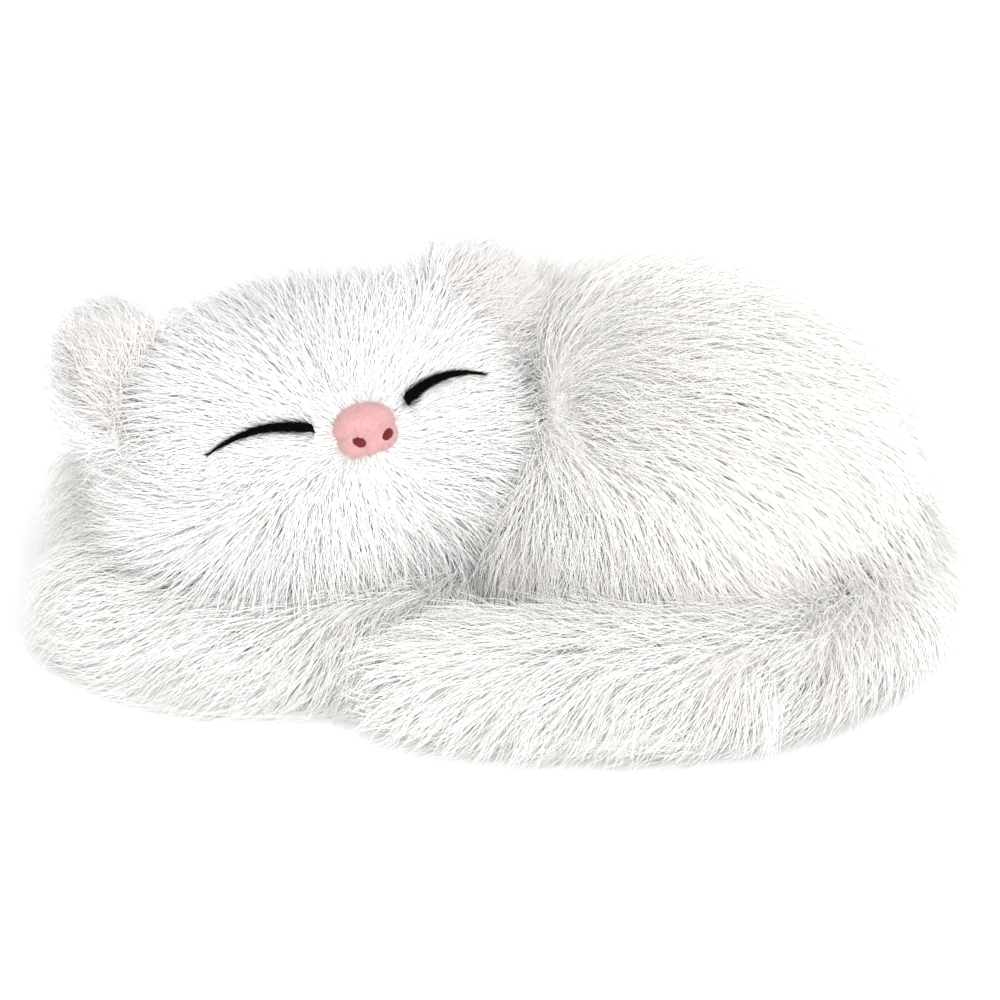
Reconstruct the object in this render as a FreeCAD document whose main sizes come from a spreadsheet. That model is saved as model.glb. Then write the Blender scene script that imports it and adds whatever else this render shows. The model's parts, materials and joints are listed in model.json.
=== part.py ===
import FreeCAD
import Part
import Sketcher
import math
import os

# Sleeping plush cat: a curled, stuffed body with a head that rests in a hollow of it, two ears and a tail.
#
# Frame: X runs along the body from the head end (-) to the rump (+), Y from the face side (-) to the back (+), Z up.
# The origin is the middle of the underside. Left and right are the cat's own. Millimetres and degrees.
# Each fur panel is a closed solid from its backing cloth out to the surface of the laid pile.

Vector = FreeCAD.Vector

DIMENSIONS = {
    # Pile and cloth
    "pile": 10,
    "nest_pile": 5,
    "base_thick": 1.5,
    "clearance": 1.5,
    # Lobes of the curled body: centre, then half width (X), half depth (Y) and half height (Z)
    "rump_x": 58, "rump_y": 14, "rump_z": 30, "rump_wide": 80, "rump_deep": 74, "rump_high": 74,
    "middle_x": -4, "middle_y": 30, "middle_z": 28, "middle_wide": 90, "middle_deep": 64, "middle_high": 68,
    "shoulder_x": -64, "shoulder_y": 20, "shoulder_z": 22,
    "shoulder_wide": 73, "shoulder_deep": 61, "shoulder_high": 52,
    "chest_x": -66, "chest_y": -22, "chest_z": 14, "chest_wide": 71, "chest_deep": 47, "chest_high": 42,
    # Seams between the body panels
    "waist_seam": 6,
    "side_seam": -8,
    # Head: centre, turn about Z, lift of the face above level
    "head_x": -51, "head_y": -14, "head_z": 70, "head_turn": 20, "head_lift": 28,
    "skull_wide": 66, "skull_deep": 44, "skull_high": 46,
    "muzzle_out": 26, "muzzle_wide": 28, "muzzle_deep": 24, "muzzle_high": 22,
    "gusset": 24, "crown_seam": 13, "nape_seam": 14,
    # Face
    "face_tilt": 6,
    "nose_out": 47.5, "nose_up": 1.5, "nose_wide": 10.2, "nose_deep": 7.6, "nose_high": 7.4,
    "nostril_side": 4.7, "nostril_drop": 3.4, "nostril_wide": 1.9, "nostril_deep": 4.2, "nostril_high": 1.25,
    "lash_inner": 15, "lash_inner_top": 8, "lash_inner_bottom": 3.6, "lash_tip": 45, "lash_tip_up": 5.9,
    "lash_top_radius": 31, "lash_bottom_radius": 38, "lash_thick": 1.4,
    # Ears
    "right_ear_side": 55, "left_ear_side": 48, "ear_up": 22, "ear_splay": 60, "ear_half_base": 21, "ear_tall": 32, "ear_tip_shift": 10,
    "ear_curve": 45, "ear_pile": 4.5, "ear_lining": 2.2, "ear_round": 6, "ear_slot": 9.5,
    "ear_room_x": 55, "ear_room_y": 8, "ear_room_z": 35,
    "ear_room_wide": 30, "ear_room_deep": 31, "ear_room_high": 29,
    # Tail
    "tail_bend_x": 50, "tail_bend_y": -2, "tail_bend": 74, "tail_thick": 20, "tail_core": 10,
    "tail_straight": 48, "tail_tip": 11, "tail_taper": 20, "tail_root_angle": 4,
    "tail_high": 20.5, "tail_gap": 0.8, "tail_undercut": 12, "tail_rise": 2, "tail_root_room": 17,
    # Closing seam under the body
    "stitch_long": 5, "stitch_wide": 0.9, "stitch_pitch": 6.5, "stitch_x": 20, "stitch_y": 46,
}
STITCH_COUNT = 13
ROOT_ROOM = "(Sizes.tail_root_angle + Sizes.tail_root_room)"
BIG = 400  # larger than the whole cat, for the blocks that trim it

doc = FreeCAD.newDocument("plush_cat")
sheet = doc.addObject("Spreadsheet::Sheet", "Sizes")
for row, (alias, value) in enumerate(DIMENSIONS.items(), start=1):
    sheet.set(f"A{row}", alias)
    sheet.set(f"B{row}", str(value))
    sheet.setAlias(f"B{row}", alias)
doc.recompute()

nodes = {}


def cell(alias):
    """The value of one driving dimension."""
    return float(sheet.get(alias))


HEAD_FRAME = ("create(<<placement>>; create(<<vector>>; Sizes.head_x; Sizes.head_y; Sizes.head_z); "
              "create(<<rotation>>; Sizes.head_turn; 0; -Sizes.head_lift))")
FACE_FRAME = "create(<<placement>>; create(<<vector>>; 0; 0; 0); create(<<rotation>>; 0; -Sizes.face_tilt; 0))"


def place(obj, x="0", y="0", z="0", turn="0", tilt="0", roll="0", within=None):
    """Binds a placement to the sheet. Within puts it inside another placement's frame."""
    own = (f"create(<<placement>>; create(<<vector>>; {x}; {y}; {z}); "
           f"create(<<rotation>>; {turn}; {tilt}; {roll}))")
    obj.setExpression("Placement", f"{within} * {own}" if within else own)
    return obj


def primitive(kind, name, **sizes):
    """A Part primitive whose properties follow expressions."""
    obj = doc.addObject(kind, name)
    for key, expression in sizes.items():
        obj.setExpression(key, str(expression))
    return obj


def ellipsoid(name, wide, deep, high, x="0", y="0", z="0", **frame):
    """Half sizes along X, Y and Z, about a centre."""
    obj = primitive("Part::Ellipsoid", name, Radius2=wide, Radius3=deep, Radius1=high)
    return place(obj, x, y, z, **frame)


def block(name, x, y, z, long, deep, high, within=None):
    """A box from its lowest corner."""
    obj = primitive("Part::Box", name, Length=long, Width=deep, Height=high)
    return place(obj, x, y, z, within=within)


def fuse(name, *shapes):
    obj = doc.addObject("Part::MultiFuse", name)
    obj.Shapes = list(shapes)
    return obj


def common(name, base, tool):
    obj = doc.addObject("Part::Common", name)
    obj.Base, obj.Tool = base, tool
    return obj


def cut(name, base, *tools):
    """Base less each tool in turn."""
    for number, tool in enumerate(tools, start=1):
        obj = doc.addObject("Part::Cut", name if number == len(tools) else f"{name}_less_{number}")
        obj.Base, obj.Tool = base, tool
        base = obj
    return base


def keep(node, obj):
    """Registers a finished sub-part under its node name."""
    obj.Label = node
    nodes[node] = obj


# ---------------------------------------------------------------- body


def head_hollow(name, grow):
    """The hollow the head rolls in: the skull grown by an expression."""
    return ellipsoid(
        name, f"Sizes.skull_wide + {grow}", f"Sizes.skull_deep + {grow}", f"Sizes.skull_high + {grow}",
        within=HEAD_FRAME,
    )


def ear_hollow(name, grow):
    """The hollow that the left ear swings back through as the head nods, grown by an expression."""
    return ellipsoid(
        name, f"Sizes.ear_room_wide + {grow}", f"Sizes.ear_room_deep + {grow}", f"Sizes.ear_room_high + {grow}",
        "Sizes.ear_room_x", "Sizes.ear_room_y", "Sizes.ear_room_z", within=HEAD_FRAME,
    )


def lobes(name, less):
    """The curled body as one mound of four lobes, each smaller by an expression."""
    return fuse(name, *[
        ellipsoid(
            f"{name}_{lobe}",
            f"Sizes.{lobe}_wide{less}", f"Sizes.{lobe}_deep{less}", f"Sizes.{lobe}_high{less}",
            f"Sizes.{lobe}_x", f"Sizes.{lobe}_y", f"Sizes.{lobe}_z",
        )
        for lobe in ("rump", "middle", "shoulder", "chest")
    ])


def build_body(tail_room, tail_bed):
    outer = cut(
        "outer", lobes("envelope", ""),
        head_hollow("head_room", "Sizes.clearance"), ear_hollow("ear_room", "0 * Sizes.clearance"), tail_room,
    )
    filling = cut(
        "filling", lobes("inner", " - Sizes.pile"),
        head_hollow("head_bed", "Sizes.clearance + Sizes.nest_pile"), ear_hollow("ear_bed", "Sizes.nest_pile"),
        tail_bed,
    )
    above = block("above_base", -BIG / 2, -BIG / 2, "Sizes.base_thick", BIG, BIG, BIG)
    slab = block("base_slab", -BIG / 2, -BIG / 2, 0, BIG, BIG, "Sizes.base_thick")

    stitches = build_stitches()
    keep("base_panel", cut("base_cloth", common("base_blank", outer, slab), stitches))
    keep("closing_stitches", stitches)
    keep("body_stuffing", common("stuffing", filling, above))

    skin = cut("skin", common("upper_envelope", outer, above), filling)
    quarters = {
        "haunch_panel": ("Sizes.waist_seam", f"Sizes.side_seam - {BIG}"),
        "rump_panel": ("Sizes.waist_seam", "Sizes.side_seam"),
        "chest_panel": (f"Sizes.waist_seam - {BIG}", f"Sizes.side_seam - {BIG}"),
        "shoulder_panel": (f"Sizes.waist_seam - {BIG}", "Sizes.side_seam"),
    }
    for node, (low_x, low_y) in quarters.items():
        quarter = block(f"{node}_quarter", low_x, low_y, 0, BIG, BIG, BIG)
        keep(node, common(f"{node}_solid", skin, quarter))


def build_stitches():
    """Thread that closes the underside, let into the cloth so that it lies flush."""
    middle = (STITCH_COUNT - 1) / 2
    bars = [
        block(
            f"stitch_{number}",
            f"Sizes.stitch_x + {number - middle} * Sizes.stitch_pitch - Sizes.stitch_wide / 2",
            "Sizes.stitch_y - Sizes.stitch_long / 2",
            "0.1", "Sizes.stitch_wide", "Sizes.stitch_long", "Sizes.stitch_wide",
        )
        for number in range(STITCH_COUNT)
    ]
    thread = doc.addObject("Part::Compound", "thread")
    thread.Links = bars
    return thread


# ---------------------------------------------------------------- head, in its own frame: -Y is forward, Z is up


def head_solid(name, less):
    """Skull and muzzle together, each smaller or larger by an expression."""
    skull = ellipsoid(
        f"{name}_skull", f"Sizes.skull_wide{less}", f"Sizes.skull_deep{less}", f"Sizes.skull_high{less}",
        within=HEAD_FRAME,
    )
    muzzle = ellipsoid(
        f"{name}_muzzle", f"Sizes.muzzle_wide{less}", f"Sizes.muzzle_deep{less}", f"Sizes.muzzle_high{less}",
        y="-Sizes.muzzle_out", within=HEAD_FRAME,
    )
    return fuse(name, skull, muzzle)


def build_nose():
    """A felted nose: a wide bridge, two wings and a narrow foot, with two slanting nostrils."""
    face = f"{HEAD_FRAME} * {FACE_FRAME}"
    up, out = "Sizes.nose_up", "-Sizes.nose_out"
    lumps = [
        ellipsoid(
            "bridge", "Sizes.nose_wide", "Sizes.nose_deep", "Sizes.nose_high",
            y=out, z=f"{up} + Sizes.nose_high * 0.2", within=face,
        ),
        ellipsoid(
            "foot", "Sizes.nose_wide * 0.5", "Sizes.nose_deep * 0.8", "Sizes.nose_high * 0.6",
            y=out, z=f"{up} - Sizes.nose_high * 0.62", within=face,
        ),
    ]
    nostrils = []
    for side, sign in (("right", -1), ("left", 1)):
        lumps.append(ellipsoid(
            f"wing_{side}", "Sizes.nose_wide * 0.55", "Sizes.nose_deep * 0.86", "Sizes.nose_high * 0.72",
            x=f"{sign} * Sizes.nostril_side * 0.9", y=f"{out} - 0.4", z=f"{up} - Sizes.nostril_drop",
            within=face,
        ))
        nostrils.append(ellipsoid(
            f"nostril_{side}", "Sizes.nostril_wide", "Sizes.nostril_deep", "Sizes.nostril_high",
            x=f"{sign} * Sizes.nostril_side", y=f"{out} - Sizes.nose_deep * 0.86",
            z=f"{up} - Sizes.nostril_drop", tilt=f"{sign * -35}", within=face,
        ))
    return cut("nose_felt", fuse("nose_lump", *lumps), *nostrils)


def fix_point(sketch, geometry, end, point, across, up):
    """Ties a sketch point to the sheet, measured from the sketch's origin."""
    for kind, value, expression in (("DistanceX", point.x, across), ("DistanceY", point.y, up)):
        number = sketch.addConstraint(Sketcher.Constraint(kind, -1, 1, geometry, end, value))
        sketch.setExpression(f"Constraints[{number}]", expression)


def flat_sketch(body, name, role):
    """A sketch on one of a body's own origin planes."""
    sketch = body.newObject("Sketcher::SketchObject", name)
    plane = next(feature for feature in body.Origin.OriginFeatures if feature.Role == role)
    sketch.AttachmentSupport = [(plane, "")]
    sketch.MapMode = "FlatFace"
    return sketch


def arc_above(start, end, radius):
    """A shallow arc that rises above the chord between two points."""
    chord = end - start
    up = Vector(-chord.y, chord.x, 0).normalize() * math.copysign(1, chord.x)
    drop = math.sqrt(radius ** 2 - (chord.Length / 2) ** 2)
    top = (start + end) / 2 + up * (radius - drop)
    return Part.Arc(start, top, end)


def end_near(sketch, geometry, point):
    """Which end of a sketched curve lies nearer a point: 1 or 2."""
    gaps = [sketch.getPoint(geometry, end).distanceToPoint(point) for end in (1, 2)]
    return 1 + gaps.index(min(gaps))


def lash_crescent(name, sign):
    """A crescent: thick at the inner corner of the eye, arched, and fine at the outer corner."""
    body = doc.addObject("PartDesign::Body", name)
    sketch = flat_sketch(body, f"{name}_outline", "XZ_Plane")
    top = Vector(sign * cell("lash_inner"), cell("lash_inner_top"), 0)
    bottom = Vector(sign * cell("lash_inner"), cell("lash_inner_bottom"), 0)
    tip = Vector(sign * cell("lash_tip"), cell("lash_tip_up"), 0)
    sketch.addGeometry(arc_above(top, tip, cell("lash_top_radius")), False)
    sketch.addGeometry(arc_above(bottom, tip, cell("lash_bottom_radius")), False)
    sketch.addGeometry(Part.LineSegment(top, bottom), False)
    for first, second, point in ((0, 1, tip), (0, 2, top), (1, 2, bottom)):
        ends = end_near(sketch, first, point), end_near(sketch, second, point)
        sketch.addConstraint(Sketcher.Constraint("Coincident", first, ends[0], second, ends[1]))
    inner = f"{sign} * Sizes.lash_inner"
    fix_point(sketch, 0, end_near(sketch, 0, top), top, inner, "Sizes.lash_inner_top")
    fix_point(sketch, 1, end_near(sketch, 1, bottom), bottom, inner, "Sizes.lash_inner_bottom")
    fix_point(sketch, 0, end_near(sketch, 0, tip), tip, f"{sign} * Sizes.lash_tip", "Sizes.lash_tip_up")
    for arc, alias in ((0, "lash_top_radius"), (1, "lash_bottom_radius")):
        number = sketch.addConstraint(Sketcher.Constraint("Radius", arc, cell(alias)))
        sketch.setExpression(f"Constraints[{number}]", f"Sizes.{alias}")
    doc.recompute()
    pad = body.newObject("PartDesign::Pad", f"{name}_pad")
    pad.Profile = sketch
    pad.setExpression("Length", "2 * Sizes.skull_deep")
    doc.recompute()
    if pad.Shape.BoundBox.YMin > -1:
        pad.Reversed = True
    body.setExpression("Placement", f"{HEAD_FRAME} * {FACE_FRAME}")
    return body


def ear_frame(side):
    """At the foot of an ear: X along the foot, Y out to the tip, Z forward."""
    out = "-Sizes.right_ear_side" if side < 0 else "Sizes.left_ear_side"
    return (f"{HEAD_FRAME} * create(<<placement>>; create(<<vector>>; {out}; 0; Sizes.ear_up); "
            f"create(<<rotation>>; 0; {side} * Sizes.ear_splay; 90))")


def ear_slot(name, side):
    """Room in the pile round the foot of an ear, so that it can fold both ways."""
    slot = block(
        name, "-Sizes.ear_half_base - 2", "-0.6 * Sizes.ear_slot", "-1.2 * Sizes.ear_slot",
        "2 * Sizes.ear_half_base + 4", "3 * Sizes.ear_slot", "2.2 * Sizes.ear_slot",
        within=ear_frame(side),
    )
    return slot


def build_head():
    outer = head_solid("head_outer", "")
    core = head_solid("head_core", " - Sizes.pile")
    nose = build_nose()
    slots = [ear_slot("right_slot", -1), ear_slot("left_slot", 1)]
    skin = cut("head_skin", outer, core, nose, *slots)
    keep("head_stuffing", cut("head_fill", core, nose, *slots))
    keep("nose", nose)

    gusset = "Sizes.gusset"
    for node, low_x in (("right_cheek_panel", f"-{gusset} - {BIG}"), ("left_cheek_panel", gusset)):
        side = block(f"{node}_block", low_x, -BIG / 2, -BIG / 2, BIG, BIG, BIG, within=HEAD_FRAME)
        keep(node, common(f"{node}_solid", skin, side))
    middle = {
        "crown_panel": (-BIG / 2, "Sizes.crown_seam"),
        "nape_panel": ("Sizes.nape_seam", f"Sizes.crown_seam - {BIG}"),
        "muzzle_panel": (f"Sizes.nape_seam - {BIG}", f"Sizes.crown_seam - {BIG}"),
    }
    for node, (low_y, low_z) in middle.items():
        part = block(f"{node}_block", f"-{gusset}", low_y, low_z, f"2 * {gusset}", BIG, BIG, within=HEAD_FRAME)
        keep(node, common(f"{node}_solid", skin, part))

    raised = head_solid("lash_outer", " + Sizes.lash_thick")
    film = cut("lash_film", raised, outer)
    for node, sign in (("right_lash", -1), ("left_lash", 1)):
        keep(node, common(f"{node}_solid", lash_crescent(f"{node}_crescent", sign), film))


# ---------------------------------------------------------------- ears


def ear_blank(name, side):
    """A rounded triangle, thick enough to cut the curved ear from."""
    body = doc.addObject("PartDesign::Body", name)
    sketch = flat_sketch(body, f"{name}_outline", "XY_Plane")
    half, tall, shift = cell("ear_half_base"), cell("ear_tall"), -side * cell("ear_tip_shift")
    corners = [Vector(-half, 0, 0), Vector(half, 0, 0), Vector(shift, tall, 0)]
    for start, end in zip(corners, corners[1:] + corners[:1]):
        sketch.addGeometry(Part.LineSegment(start, end), False)
    for edge in range(3):
        sketch.addConstraint(Sketcher.Constraint("Coincident", edge, 2, (edge + 1) % 3, 1))
    fix_point(sketch, 0, 1, corners[0], "-Sizes.ear_half_base", "0 * Sizes.ear_tall")
    fix_point(sketch, 1, 1, corners[1], "Sizes.ear_half_base", "0 * Sizes.ear_tall")
    fix_point(sketch, 2, 1, corners[2], f"{-side} * Sizes.ear_tip_shift", "Sizes.ear_tall")
    doc.recompute()
    pad = body.newObject("PartDesign::Pad", f"{name}_pad")
    pad.Profile = sketch
    pad.SideType = "Symmetric"
    pad.setExpression("Length", "Sizes.ear_curve")
    doc.recompute()
    upright = [
        f"Edge{number}" for number, edge in enumerate(pad.Shape.Edges, start=1)
        if abs(edge.BoundBox.ZLength - pad.Length.Value) < 0.01 and edge.BoundBox.YMax > 1
    ]
    rounding = body.newObject("PartDesign::Fillet", f"{name}_round")
    rounding.Base = (pad, upright)
    rounding.setExpression("Radius", "Sizes.ear_round")
    doc.recompute()
    return body


def ear_shell(name, side, inner, outer):
    """Part of a tube whose axis lies in front of the ear and runs from foot to tip, so the ear cups forward."""
    tubes = []
    for label, radius in (("outside", outer), ("inside", inner)):
        tube = primitive("Part::Cylinder", f"{name}_{label}", Radius=radius, Height="4 * Sizes.ear_tall")
        tubes.append(place(tube, y="-Sizes.ear_tall", z="Sizes.ear_curve", roll="-90", within=ear_frame(side)))
    return cut(name, *tubes)


def build_ear(ear, side):
    layers = {
        "outer": ("Sizes.ear_curve", "Sizes.ear_curve + Sizes.ear_pile"),
        "lining": ("Sizes.ear_curve - Sizes.ear_lining", "Sizes.ear_curve"),
    }
    for layer, (inner, outer) in layers.items():
        blank = ear_blank(f"{ear}_{layer}_blank", side)
        blank.setExpression("Placement", ear_frame(side))
        shell = ear_shell(f"{ear}_{layer}_shell", side, inner, outer)
        keep(f"{ear}_{layer}", common(f"{ear}_{layer}_solid", blank, shell))


# ---------------------------------------------------------------- tail


def tail_rod(name, radius, tip_radius, root="Sizes.tail_root_angle", round_root=True):
    """A rod along the tail: a bend round the rump, a straight, a taper and a round tip. The root is round or flat."""
    x, y, z = "Sizes.tail_bend_x", "Sizes.tail_bend_y", "Sizes.tail_high"
    bend, straight, taper = "Sizes.tail_bend", "Sizes.tail_straight", "Sizes.tail_taper"
    curve = primitive("Part::Torus", f"{name}_bend", Radius1=bend, Radius2=radius, Angle3=f"90 + {root}")
    end = primitive("Part::Cylinder", f"{name}_straight", Radius=radius, Height=straight)
    cone = primitive("Part::Cone", f"{name}_taper", Radius1=radius, Radius2=tip_radius, Height=taper)
    tip = primitive("Part::Sphere", f"{name}_tip", Radius=tip_radius, Angle1="0")
    place(curve, x, y, z, turn="-90")
    place(end, x, f"{y} - {bend}", z, tilt="-90")
    place(cone, f"{x} - {straight}", f"{y} - {bend}", z, tilt="-90")
    place(tip, f"{x} - {straight} - {taper}", f"{y} - {bend}", z, tilt="-90")
    pieces = [curve, end, cone, tip]
    if round_root:
        ball = primitive("Part::Sphere", f"{name}_root", Radius=radius, Angle1="0")
        pieces.append(place(ball, f"{x} + {bend} * cos({root})", f"{y} + {bend} * sin({root})", z,
                            turn=root, roll="-90"))
    return fuse(name, *pieces)


def tail_channel(name, radius, tip_radius):
    """The tail's room beside the body, cut away underneath and on the outside, where the tail sweeps out."""
    x, y, bend, under = "Sizes.tail_bend_x", "Sizes.tail_bend_y", "Sizes.tail_bend", "Sizes.tail_undercut"
    wheel = primitive("Part::Cylinder", f"{name}_wheel", Radius=f"{bend} + 2 * Sizes.tail_thick",
                      Height="Sizes.tail_high + 1", Angle=f"90 + {ROOT_ROOM} - 2")
    hub = primitive("Part::Cylinder", f"{name}_hub", Radius=f"{bend} - {under}", Height="Sizes.tail_high + 3")
    rim = primitive("Part::Cylinder", f"{name}_rim", Radius=f"{bend} + 2 * Sizes.tail_thick + 1",
                    Height="Sizes.tail_high + Sizes.tail_thick + Sizes.tail_rise + 3", Angle=f"84 + {ROOT_ROOM}")
    eye = primitive("Part::Cylinder", f"{name}_eye", Radius=f"{bend} + 3", Height=BIG)
    place(wheel, x, y, -1, turn="-90")
    place(hub, x, y, -2)
    place(rim, x, y, -3, turn="-88")
    place(eye, x, y, -4)
    side = block(
        f"{name}_side", f"{x} - Sizes.tail_straight - Sizes.tail_taper", f"{y} - {bend} - 2 * Sizes.tail_thick", -1,
        "Sizes.tail_straight + Sizes.tail_taper", f"2 * Sizes.tail_thick + {under}", "Sizes.tail_high + 1",
    )
    rod = tail_rod(f"{name}_rod", radius, tip_radius, ROOT_ROOM, round_root=False)
    return fuse(name, rod, cut(f"{name}_ring", wheel, hub), cut(f"{name}_way_out", rim, eye), side)


def build_tail():
    sleeve = tail_rod("tail_outer", "Sizes.tail_thick", "Sizes.tail_tip")
    filling = tail_rod("tail_filling", "Sizes.tail_core", "Sizes.tail_tip / 2")
    keep("tail_sleeve", cut("tail_fur", sleeve, filling))
    keep("tail_stuffing", filling)


def check_and_write():
    """Stops on a failed object or a bad shape, then writes one STEP file for each node."""
    doc.recompute()
    failed = [o.Name for o in doc.Objects if "Invalid" in o.State or "Error" in o.State]
    if failed:
        raise RuntimeError(f"these objects failed: {failed}")
    os.makedirs("parts", exist_ok=True)
    for node, obj in nodes.items():
        shape = obj.Shape
        if shape.isNull() or not shape.isValid() or not shape.Solids:
            raise RuntimeError(f"{node} has no valid solid")
        print(f"{node}: {len(shape.Solids)} solid(s), {shape.Volume / 1000:.1f} cm3")
        shape.exportStep(f"parts/{node}.step")


build_body(
    tail_channel("tail_room", "Sizes.tail_thick + Sizes.tail_gap", "Sizes.tail_tip + Sizes.tail_gap"),
    tail_rod("tail_bed", "Sizes.tail_thick + Sizes.nest_pile", "Sizes.tail_tip + Sizes.nest_pile",
             f"({ROOT_ROOM} + 5)", round_root=False),
)
build_head()
build_ear("right_ear", -1)
build_ear("left_ear", 1)
build_tail()
check_and_write()
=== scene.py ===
import json
import math

import bmesh
import bpy
import numpy as np
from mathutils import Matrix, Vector, noise
from mathutils.bvhtree import BVHTree


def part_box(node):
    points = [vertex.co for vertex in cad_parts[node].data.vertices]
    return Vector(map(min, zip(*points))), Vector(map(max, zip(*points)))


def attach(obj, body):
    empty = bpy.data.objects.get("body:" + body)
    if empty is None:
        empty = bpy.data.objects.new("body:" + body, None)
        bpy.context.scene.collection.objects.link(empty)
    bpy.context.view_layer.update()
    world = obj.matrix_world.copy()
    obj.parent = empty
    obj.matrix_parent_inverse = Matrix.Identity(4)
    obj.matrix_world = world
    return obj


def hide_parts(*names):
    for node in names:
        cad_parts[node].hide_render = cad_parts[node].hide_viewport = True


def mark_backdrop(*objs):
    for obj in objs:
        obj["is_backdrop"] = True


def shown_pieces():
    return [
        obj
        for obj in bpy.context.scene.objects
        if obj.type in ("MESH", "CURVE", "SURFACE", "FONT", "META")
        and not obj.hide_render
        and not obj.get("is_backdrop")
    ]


bl_info = {
    "name": "Sleeping plush cat",
    "version": (1, 0, 0),
    "blender": (4, 5, 0),
    "location": "3D View > Sidebar > Plush Cat",
    "description": "Makes the cloth, pile, nose, lashes and seams of a curled, sleeping plush cat",
    "category": "Add Mesh",
}

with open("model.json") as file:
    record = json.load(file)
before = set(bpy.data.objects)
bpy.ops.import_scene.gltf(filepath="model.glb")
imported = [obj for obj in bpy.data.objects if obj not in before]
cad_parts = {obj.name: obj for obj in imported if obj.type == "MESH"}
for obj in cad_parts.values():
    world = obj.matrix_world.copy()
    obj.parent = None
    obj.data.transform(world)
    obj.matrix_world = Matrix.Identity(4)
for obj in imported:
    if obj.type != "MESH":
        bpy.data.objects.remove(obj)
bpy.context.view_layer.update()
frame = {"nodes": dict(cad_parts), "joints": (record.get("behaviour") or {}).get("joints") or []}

BODY_PANELS = ("haunch_panel", "rump_panel", "chest_panel", "shoulder_panel")
HEAD_PANELS = ("crown_panel", "nape_panel", "muzzle_panel", "right_cheek_panel", "left_cheek_panel")
MM = 0.001


def frame_joint(name):
    """A joint of the part, by name."""
    return next(joint for joint in frame["joints"] if joint["name"] == name)


# The head's own axes at rest: the cat's left, the way the face points, and the way the crown points.
HEAD_CENTRE = np.array(frame_joint("neck_nod")["pos_m"])
TURN, LIFT = math.radians(20), math.radians(28)
HEAD_SIDE = np.array((math.cos(TURN), math.sin(TURN), 0.0))
HEAD_FACE = np.array((math.sin(TURN) * math.cos(LIFT), -math.cos(TURN) * math.cos(LIFT), math.sin(LIFT)))
HEAD_CROWN = np.cross(HEAD_FACE, HEAD_SIDE)
# Nose and eyes sit a little turned in the face.
TILT = math.radians(6)
FACE_SIDE = HEAD_SIDE * math.cos(TILT) + HEAD_CROWN * math.sin(TILT)
FACE_CROWN = HEAD_CROWN * math.cos(TILT) - HEAD_SIDE * math.sin(TILT)
# The middle of a nostril in the face's axes, in millimetres.
NOSTRIL_SIDE, NOSTRIL_UP = 4.5, -1.5
# The middle of a closed eye and half its length, in the same terms.
EYE_SIDE, EYE_HALF, EYE_UP = 29, 14, 4
# How far the backing rises in millimetres where the face is trimmed right down.
FACE_RAISE = 8.2
# Seams between sewn panels: the body's in metres, the head's in the head's own millimetres.
WAIST_SEAM, SIDE_SEAM = 6 * MM, -8 * MM
GUSSET_SIDE, CROWN_SEAM, NAPE_SEAM = 24, 13, -14
# No panel grows more strands than this, so that none passes 200,000 triangles.
MOST_STRANDS = 10800
NOSE_CENTRE = HEAD_CENTRE + (HEAD_FACE * 47.5 + FACE_CROWN * 1.5) * MM


# ---------------------------------------------------------------- materials


def linear(hex_colour):
    """An sRGB hex colour as linear RGBA."""
    parts = [int(hex_colour[i:i + 2], 16) / 255 for i in (1, 3, 5)]
    return (*[c / 12.92 if c <= 0.04045 else ((c + 0.055) / 1.055) ** 2.4 for c in parts], 1.0)


def socket(sockets, key):
    """A socket by number, or by name among those in use."""
    if isinstance(key, int):
        return sockets[key]
    return next(s for s in sockets if s.enabled and s.name == key)


def add(tree, kind, values=None, **settings):
    """Adds one node, sets it up and fills or links its inputs."""
    node = tree.nodes.new(kind)
    for key, value in settings.items():
        setattr(node, key, value)
    for key, value in (values or {}).items():
        if isinstance(value, bpy.types.NodeSocket):
            tree.links.new(value, socket(node.inputs, key))
        else:
            socket(node.inputs, key).default_value = value
    return node


def plain_material(name, colour, rough=0.7, sheen=0.0, specular=0.35):
    """One plain surface, the same all over."""
    material = bpy.data.materials.new(name)
    material.use_nodes = True
    shader = material.node_tree.nodes["Principled BSDF"]
    shader.inputs["Base Color"].default_value = linear(colour)
    shader.inputs["Roughness"].default_value = rough
    shader.inputs["Specular IOR Level"].default_value = specular
    shader.inputs["Sheen Weight"].default_value = sheen
    return material


def knit_material(name, colour, scale_mm, height_mm, rough=0.85):
    """Cloth with a fine woven relief, sized in millimetres."""
    material = plain_material(name, colour, rough, sheen=0.3, specular=0.2)
    tree = material.node_tree
    coords = add(tree, "ShaderNodeTexCoord")
    fibre = add(tree, "ShaderNodeTexNoise",
                {"Vector": coords.outputs["Object"], "Scale": 1 / (scale_mm * MM), "Detail": 3.0})
    bump = add(tree, "ShaderNodeBump",
               {"Height": fibre.outputs["Fac"], "Distance": height_mm * MM, "Strength": 1.0})
    tree.links.new(bump.outputs["Normal"], tree.nodes["Principled BSDF"].inputs["Normal"])
    return material


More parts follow.
